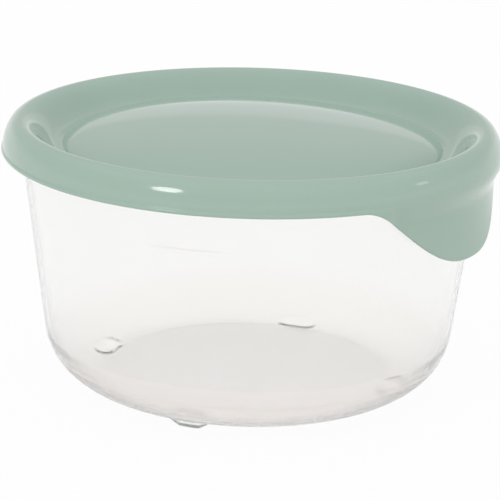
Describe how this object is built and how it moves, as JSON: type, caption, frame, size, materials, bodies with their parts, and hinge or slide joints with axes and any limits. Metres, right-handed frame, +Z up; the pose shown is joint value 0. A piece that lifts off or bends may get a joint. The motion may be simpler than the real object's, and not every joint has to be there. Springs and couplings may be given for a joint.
{
  "type": "snap lid food container",
  "caption": "Round tapered clear plastic food tub on low moulded feet, closed by a flexible snap lid with a sunken domed panel, a rolled rim and a hanging pull tab.",
  "frame": {"origin": "on the common turning axis of tub and lid, in the plane that the feet stand on", "axes": "+Z up along the turning axis, +X out through the middle of the lid's pull tab"},
  "size_m": [0.1598, 0.16, 0.087],
  "materials": {
    "clear_polypropylene": "clear, slightly milky, injection-moulded gloss",
    "sage_polyethylene": "opaque sage green, smooth injection-moulded gloss"
  },
  "bodies": {
    "tub": {"tub": "clear_polypropylene"},
    "lid": {"lid": "sage_polyethylene"}
  },
  "joints": [
    {"name": "lid_lift", "type": "slide", "parent": "tub", "child": "lid", "axis": [0, 0, 1], "range_m": [0, 0.06]}
  ]
}
